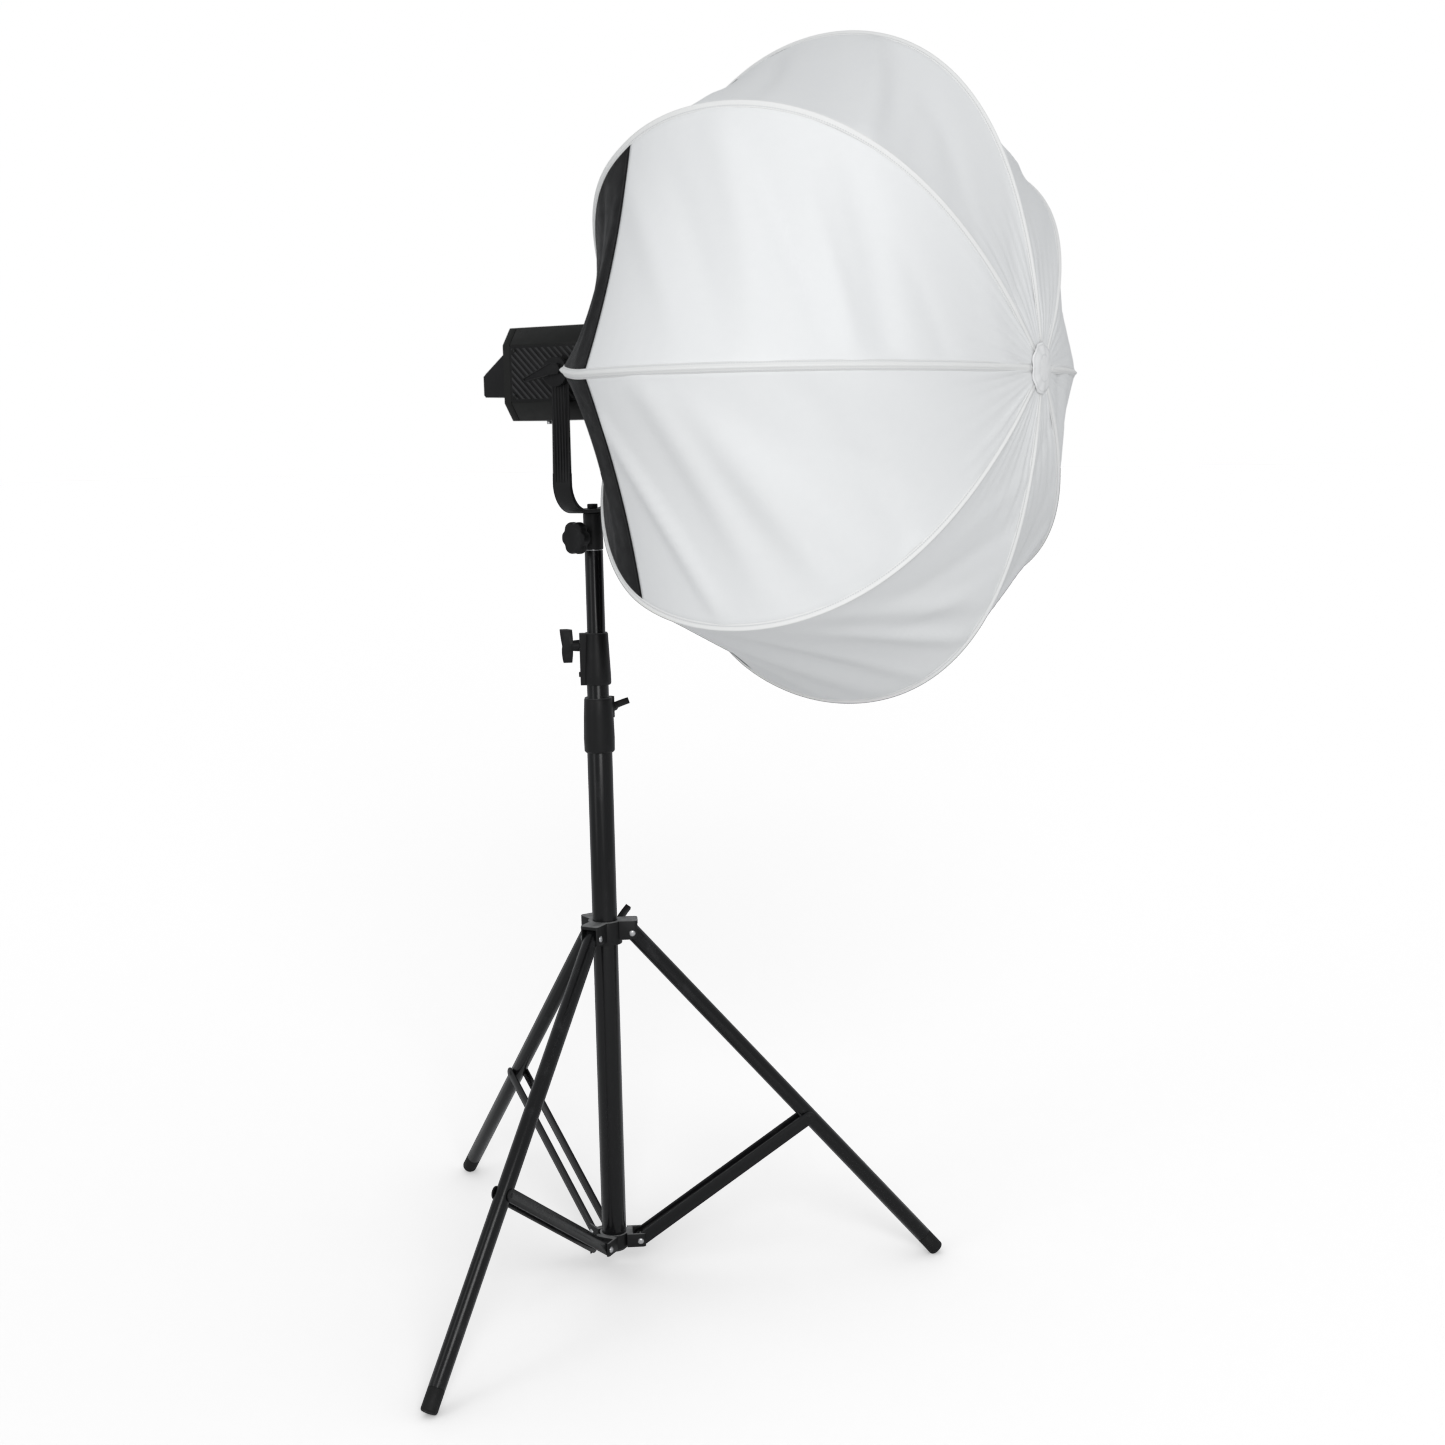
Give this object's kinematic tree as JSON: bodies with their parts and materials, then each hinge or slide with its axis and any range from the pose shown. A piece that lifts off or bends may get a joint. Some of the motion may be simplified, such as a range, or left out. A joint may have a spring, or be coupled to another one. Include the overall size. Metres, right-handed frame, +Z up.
{
  "type": "studio softbox on a light stand",
  "caption": "Round cloth lantern softbox on a studio lamp head, held by a tilting yoke on a telescoping stand with folding legs.",
  "frame": {"origin": "on the floor, under the middle of the whole object's box; the column's axis is at X 0.033, Y 0.111 m", "axes": "+Z up, light leaves towards -Y, tilt axis along X"},
  "size_m": [0.906, 1.0984, 1.7055],
  "materials": {
    "black_tube": "satin",
    "cast_black": "satin",
    "black_plastic": "matte",
    "foot_rubber": "matte",
    "bright_steel": "satin",
    "spring_steel": "satin",
    "lamp_body": "satin",
    "lamp_panel": "satin",
    "bare_aluminium": "satin",
    "phosphor": "matte",
    "dark_glass": "gloss",
    "white_cloth": "matte",
    "black_cloth": "satin"
  },
  "bodies": {
    "column": {"main_tube": "black_tube", "bottom_hub": "cast_black", "lower_clamp_collar": "black_plastic"},
    "collar": {"leg_collar": "cast_black"},
    "leg_a": {"leg_a": "black_tube", "foot_a": "foot_rubber"},
    "leg_b": {"leg_b": "black_tube", "foot_b": "foot_rubber"},
    "leg_c": {"leg_c": "black_tube", "foot_c": "foot_rubber"},
    "brace_a": {"brace_a_left": "black_tube", "brace_a_right": "black_tube"},
    "brace_b": {"brace_b_left": "black_tube", "brace_b_right": "black_tube"},
    "brace_c": {"brace_c_left": "black_tube", "brace_c_right": "black_tube"},
    "mid_section": {"mid_tube": "black_tube", "upper_clamp_collar": "black_plastic"},
    "top_section": {"top_tube": "black_tube", "stud": "bright_steel"},
    "yoke": {"yoke_socket": "cast_black", "yoke_strap": "cast_black", "yoke_bolt": "bright_steel"},
    "head": {"lamp_housing": "lamp_body", "rear_cover": "lamp_body", "rear_console": "black_plastic", "side_panel_left": "lamp_panel", "side_panel_right": "lamp_panel", "heat_sink": "bare_aluminium", "led_chip": "phosphor", "fan_frame": "black_plastic", "mount_ring": "bright_steel", "display": "dark_glass", "power_inlet": "black_plastic", "pivot_cap": "black_plastic"},
    "softbox": {"speed_ring": "cast_black", "rib_1": "spring_steel", "rib_2": "spring_steel", "rib_3": "spring_steel", "rib_4": "spring_steel", "rib_5": "spring_steel", "rib_6": "spring_steel", "rib_7": "spring_steel", "rib_8": "spring_steel", "front_hub": "cast_black", "black_back": "black_cloth", "white_front": "white_cloth"},
    "collar_screw": {"leg_collar_wing_screw": "black_plastic"},
    "lower_screw": {"lower_wing_screw": "black_plastic"},
    "upper_screw": {"upper_tee_screw": "black_plastic"},
    "socket_screw": {"socket_knob": "black_plastic"},
    "lever": {"tilt_lever": "black_plastic"},
    "fan_rotor": {"fan": "black_plastic"},
    "dial_knob": {"dial": "black_plastic"},
    "button_top": {"button_1": "black_plastic"},
    "button_middle": {"button_2": "black_plastic"},
    "button_bottom": {"button_3": "black_plastic"},
    "rocker": {"power_switch": "black_plastic"},
    "release": {"mount_release": "black_plastic"},
    "umbrella_lock": {"umbrella_screw": "bright_steel"}
  },
  "joints": [
    {"name": "leg_collar_slide", "type": "slide", "parent": "column", "child": "collar", "axis": [0, 0, 1], "range_m": [0, 0.22537]},
    {"name": "leg_a_fold", "type": "hinge", "parent": "collar", "child": "leg_a", "pos_m": [0.05443, 0.07876, 0.51], "axis": [0.831, 0.5563, 0], "range_deg": [0, 41.18]},
    {"name": "brace_a_fold", "type": "hinge", "parent": "column", "child": "brace_a", "pos_m": [0.05443, 0.07876, 0.046], "axis": [-0.831, -0.5563, 0], "range_deg": [0, 55]},
    {"name": "leg_b_fold", "type": "hinge", "parent": "collar", "child": "leg_b", "pos_m": [-0.00556, 0.10827, 0.51], "axis": [0.0663, -0.9978, 0], "range_deg": [0, 41.18]},
    {"name": "brace_b_fold", "type": "hinge", "parent": "column", "child": "brace_b", "pos_m": [-0.00556, 0.10827, 0.046], "axis": [-0.0663, 0.9978, 0], "range_deg": [0, 55]},
    {"name": "leg_c_fold", "type": "hinge", "parent": "collar", "child": "leg_c", "pos_m": [0.05, 0.14547, 0.51], "axis": [-0.8973, 0.4415, 0], "range_deg": [0, 41.18]},
    {"name": "brace_c_fold", "type": "hinge", "parent": "column", "child": "brace_c", "pos_m": [0.05, 0.14547, 0.046], "axis": [0.8973, -0.4415, 0], "range_deg": [0, 55]},
    {"name": "mid_section_slide", "type": "slide", "parent": "column", "child": "mid_section", "axis": [0, 0, 1], "range_m": [-0.018, 0.55]},
    {"name": "top_section_slide", "type": "slide", "parent": "mid_section", "child": "top_section", "axis": [0, 0, 1], "range_m": [-0.09, 0.5]},
    {"name": "yoke_pan", "type": "hinge", "parent": "top_section", "child": "yoke", "pos_m": [0.03296, 0.11083, 1.08], "axis": [0, 0, 1], "continuous": true},
    {"name": "lamp_tilt", "type": "hinge", "parent": "yoke", "child": "head", "pos_m": [0.03296, 0.11083, 1.3025], "axis": [-1, 0, 0], "range_deg": [-20, 90]},
    {"name": "softbox_twist", "type": "hinge", "parent": "head", "child": "softbox", "pos_m": [0.03296, 0.02383, 1.3025], "axis": [0, 1, 0], "range_deg": [0, 20]},
    {"name": "collar_screw_turn", "type": "hinge", "parent": "collar", "child": "collar_screw", "pos_m": [0.06788, 0.11315, 0.513], "axis": [0.9978, 0.0663, 0], "continuous": true},
    {"name": "lower_screw_turn", "type": "hinge", "parent": "column", "child": "lower_screw", "pos_m": [0.06465, 0.10638, 0.834], "axis": [0.9903, -0.1392, 0], "continuous": true},
    {"name": "upper_screw_turn", "type": "hinge", "parent": "mid_section", "child": "upper_screw", "pos_m": [0.01288, 0.1395, 0.925], "axis": [-0.5736, 0.8192, 0], "continuous": true},
    {"name": "socket_screw_turn", "type": "hinge", "parent": "yoke", "child": "socket_screw", "pos_m": [0.00373, 0.11758, 1.077], "axis": [-0.9744, 0.225, 0], "continuous": true},
    {"name": "tilt_lever_turn", "type": "hinge", "parent": "head", "child": "lever", "pos_m": [-0.04704, 0.11083, 1.3025], "axis": [-1, 0, 0], "range_deg": [-60, 120]},
    {"name": "fan_spin", "type": "hinge", "parent": "head", "child": "fan_rotor", "pos_m": [0.03296, 0.16283, 1.3025], "axis": [0, 1, 0], "continuous": true},
    {"name": "dial_turn", "type": "hinge", "parent": "head", "child": "dial_knob", "pos_m": [0.06096, 0.24034, 1.32312], "axis": [0, 0.6268, 0.7792], "continuous": true},
    {"name": "button_top_press", "type": "slide", "parent": "head", "child": "button_top", "axis": [0, -0.6268, -0.7792], "range_m": [0, 0.0012], "stiffness_N_per_m": 400},
    {"name": "button_middle_press", "type": "slide", "parent": "head", "child": "button_middle", "axis": [0, -0.6268, -0.7792], "range_m": [0, 0.0012], "stiffness_N_per_m": 400},
    {"name": "button_bottom_press", "type": "slide", "parent": "head", "child": "button_bottom", "axis": [0, -0.6268, -0.7792], "range_m": [0, 0.0012], "stiffness_N_per_m": 400},
    {"name": "power_switch_rock", "type": "hinge", "parent": "head", "child": "rocker", "pos_m": [0.04996, 0.25683, 1.2875], "axis": [1, 0, 0], "range_deg": [-5, 5]},
    {"name": "mount_release_slide", "type": "slide", "parent": "head", "child": "release", "axis": [0, 1, 0], "range_m": [0, 0.005], "stiffness_N_per_m": 400},
    {"name": "umbrella_screw_turn", "type": "hinge", "parent": "head", "child": "umbrella_lock", "pos_m": [0.01296, 0.16483, 1.2365], "axis": [0, 0, 1], "continuous": true}
  ],
  "couplings": [
    {"joint": "leg_a_fold", "follows": "leg_collar_slide", "rad_per_m": 3.1881},
    {"joint": "brace_a_fold", "follows": "leg_collar_slide", "rad_per_m": 4.2583},
    {"joint": "leg_b_fold", "follows": "leg_collar_slide", "rad_per_m": 3.1881},
    {"joint": "brace_b_fold", "follows": "leg_collar_slide", "rad_per_m": 4.2583},
    {"joint": "leg_c_fold", "follows": "leg_collar_slide", "rad_per_m": 3.1881},
    {"joint": "brace_c_fold", "follows": "leg_collar_slide", "rad_per_m": 4.2583}
  ]
}
